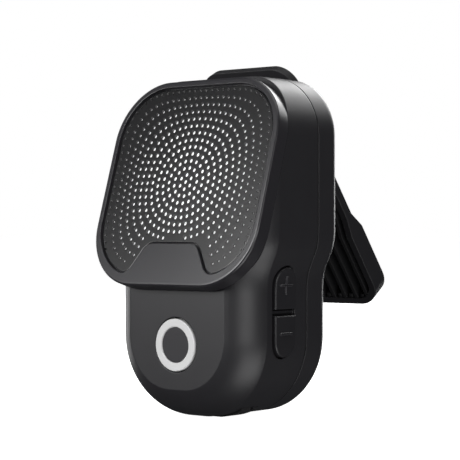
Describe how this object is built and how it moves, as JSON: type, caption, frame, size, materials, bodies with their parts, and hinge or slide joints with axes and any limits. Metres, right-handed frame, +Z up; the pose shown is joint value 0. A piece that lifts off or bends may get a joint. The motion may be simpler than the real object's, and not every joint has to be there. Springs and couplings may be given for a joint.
{
  "type": "clip-on loudspeaker",
  "caption": "Small wearable loudspeaker with a tilted perforated face, a ring power button, side volume keys and a hinged clip on its back.",
  "frame": {"origin": "middle of the flat foot under the body", "axes": "+Z up the body, -Y out of the loudspeaker side, +X towards the volume keys"},
  "size_m": [0.0458, 0.0623, 0.0749],
  "materials": {
    "shell_plastic": "fine matte",
    "bezel_plastic": "satin",
    "grille_metal": "satin powder coat",
    "white_cloth": "fine white mesh",
    "black_rubber": "matte",
    "frame_plastic": "matte",
    "paper_cone": "coated paper",
    "copper": "bare wire",
    "steel": "plated",
    "magnet": "sintered",
    "board": "solder mask",
    "cell_wrap": "foil wrap",
    "foam": "foam",
    "button_plastic": "satin",
    "ring_white": "satin white",
    "key_plastic": "satin",
    "clip_plastic": "fine matte",
    "clip_lining": "matte ribbed",
    "black_screw": "black zinc",
    "wire": "insulation"
  },
  "bodies": {
    "housing": {"acoustic_cloth": "white_cloth", "battery": "cell_wrap", "battery_lead": "wire", "battery_pad": "foam", "bracket_screws": "steel", "driver_frame": "frame_plastic", "driver_gasket": "black_rubber", "front_shell": "shell_plastic", "grille": "grille_metal", "head_bezel": "bezel_plastic", "hinge_bracket": "steel", "hinge_pin": "steel", "housing_screws": "black_screw", "key_web": "black_rubber", "magnet": "magnet", "main_board": "board", "power_switch": "frame_plastic", "rear_shell": "shell_plastic", "shell_seal": "black_rubber", "side_switches": "frame_plastic", "speaker_lead": "wire", "surround": "black_rubber", "top_plate": "steel", "torsion_spring": "steel", "usb_socket": "steel", "yoke": "steel"},
    "clip": {"clip_lever": "clip_plastic", "clip_pad": "clip_lining"},
    "power_key": {"power_button": "button_plastic", "power_ring": "ring_white"},
    "volume_up": {"volume_up_key": "key_plastic"},
    "volume_down": {"volume_down_key": "key_plastic"},
    "port_flap": {"port_cover": "black_rubber"},
    "diaphragm": {"cone": "paper_cone", "dust_cap": "paper_cone", "voice_coil": "copper"}
  },
  "joints": [
    {"name": "clip_hinge", "type": "hinge", "parent": "housing", "child": "clip", "pos_m": [0, 0.018, 0.0597], "axis": [-1, 0, 0], "range_deg": [0, 37.5]},
    {"name": "power_press", "type": "slide", "parent": "housing", "child": "power_key", "axis": [0, 1, 0], "range_m": [0, 0.0004], "stiffness_N_per_m": 1500},
    {"name": "volume_up_press", "type": "slide", "parent": "housing", "child": "volume_up", "axis": [-1, 0, 0], "range_m": [0, 0.00035], "stiffness_N_per_m": 1500},
    {"name": "volume_down_press", "type": "slide", "parent": "housing", "child": "volume_down", "axis": [-1, 0, 0], "range_m": [0, 0.00035], "stiffness_N_per_m": 1500},
    {"name": "port_cover_hinge", "type": "hinge", "parent": "housing", "child": "port_flap", "pos_m": [-0.00947, 0, 0.0021], "axis": [0, 1, 0], "range_deg": [0, 100]},
    {"name": "cone_travel", "type": "slide", "parent": "housing", "child": "diaphragm", "axis": [0, -0.9563, 0.2924], "range_m": [-0.0005, 0.0005], "stiffness_N_per_m": 1000, "deforming": ["surround"]}
  ]
}
